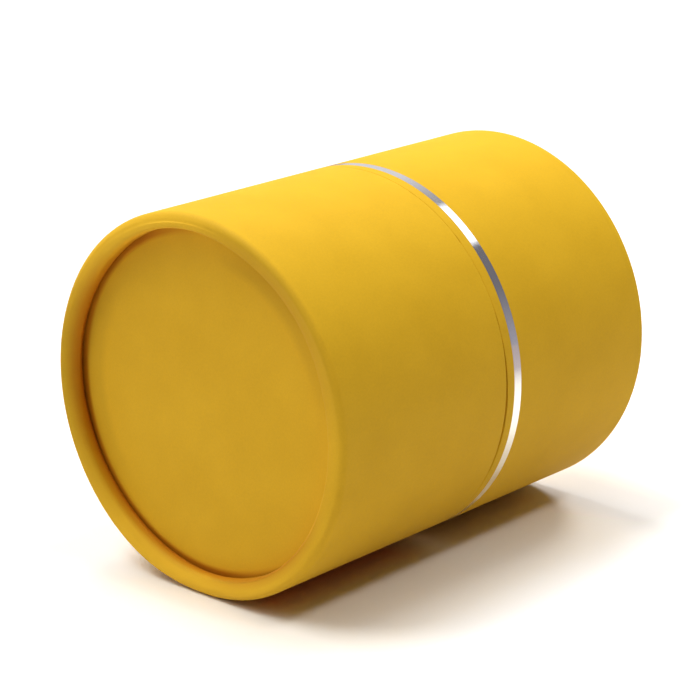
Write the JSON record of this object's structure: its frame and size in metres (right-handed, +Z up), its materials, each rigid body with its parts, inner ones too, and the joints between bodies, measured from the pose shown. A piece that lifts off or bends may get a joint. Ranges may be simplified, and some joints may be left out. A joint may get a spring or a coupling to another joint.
{
  "type": "cylindrical gift tube box",
  "caption": "Round card gift tube lying on its side, with rolled rims, recessed ends, a silver line and a pull-off lid on a neck.",
  "frame": {"origin": "on the surface that the tube lies on, under the middle of its length", "axes": "+X along the tube's axis from the base to the lid, +Z up"},
  "size_m": [0.11, 0.0898, 0.0898],
  "materials": {
    "yellow_paper": "matt, uncoated, dyed",
    "silver_foil": "mirror-bright stamped foil",
    "greyboard": "raw, wound",
    "white_paper": "matt"
  },
  "bodies": {
    "base": {"base_board_tube": "greyboard", "base_wrap": "yellow_paper", "base_end_cover": "yellow_paper", "base_end_board": "greyboard", "base_end_liner": "white_paper", "neck_tube": "greyboard", "neck_lining": "white_paper", "neck_facing": "white_paper"},
    "lid": {"lid_board_tube": "greyboard", "lid_wrap": "yellow_paper", "lid_end_cover": "yellow_paper", "lid_end_board": "greyboard", "lid_end_liner": "white_paper", "lid_sleeve": "greyboard", "lid_lining": "white_paper", "foil_band": "silver_foil"}
  },
  "joints": [
    {"name": "lid_pull", "type": "slide", "parent": "base", "child": "lid", "axis": [1, 0, 0], "range_m": [0, 0.05]}
  ]
}
